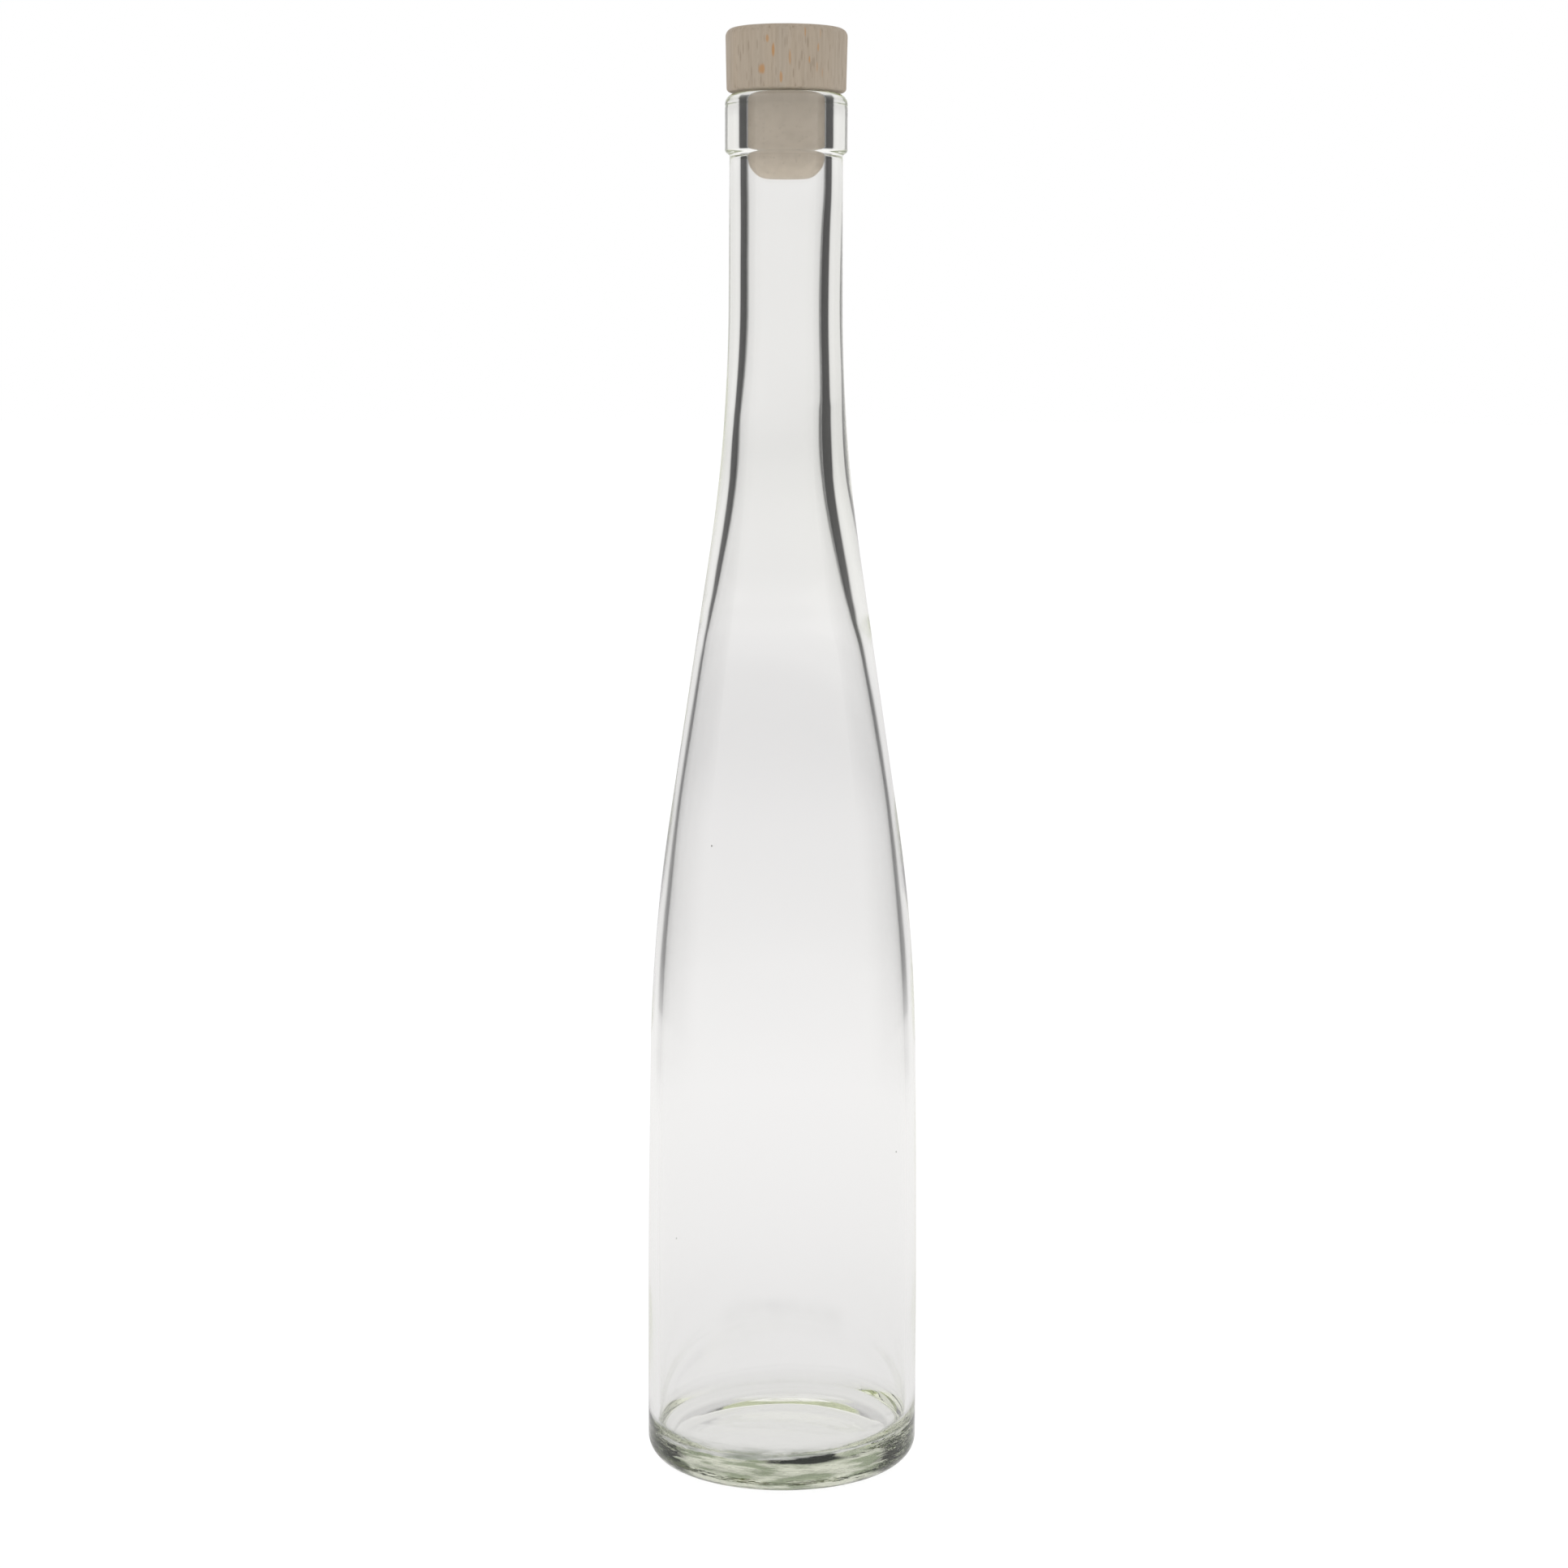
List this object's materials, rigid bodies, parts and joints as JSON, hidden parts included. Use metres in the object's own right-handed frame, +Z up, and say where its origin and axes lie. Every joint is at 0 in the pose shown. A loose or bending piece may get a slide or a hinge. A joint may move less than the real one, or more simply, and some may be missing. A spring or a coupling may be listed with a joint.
{
  "type": "glass bottle",
  "caption": "Slim clear glass bottle with a long tapered shoulder and a cork mouth, closed by a beech-topped T stopper that pulls out upwards.",
  "frame": {"origin": "middle of the foot, on the bottle's axis, in the plane that the bottle stands on", "axes": "+Z up along the bottle's axis, from the foot to the stopper"},
  "size_m": [0.0654, 0.0654, 0.3421],
  "materials": {
    "clear_glass": "smooth, clear flint glass with a faint green cast where it is thick, slightly uneven inside",
    "beech": "sanded, unvarnished beech with fine grain and short darker ray flecks",
    "synthetic_cork": "matt beige moulded closure plug with a fine closed-cell texture"
  },
  "bodies": {
    "bottle": {"glass_bottle": "clear_glass"},
    "stopper": {"stopper_head": "beech", "stopper_plug": "synthetic_cork"}
  },
  "joints": [
    {"name": "stopper_pull", "type": "slide", "parent": "bottle", "child": "stopper", "axis": [0, 0, 1], "range_m": [0, 0.06]}
  ]
}
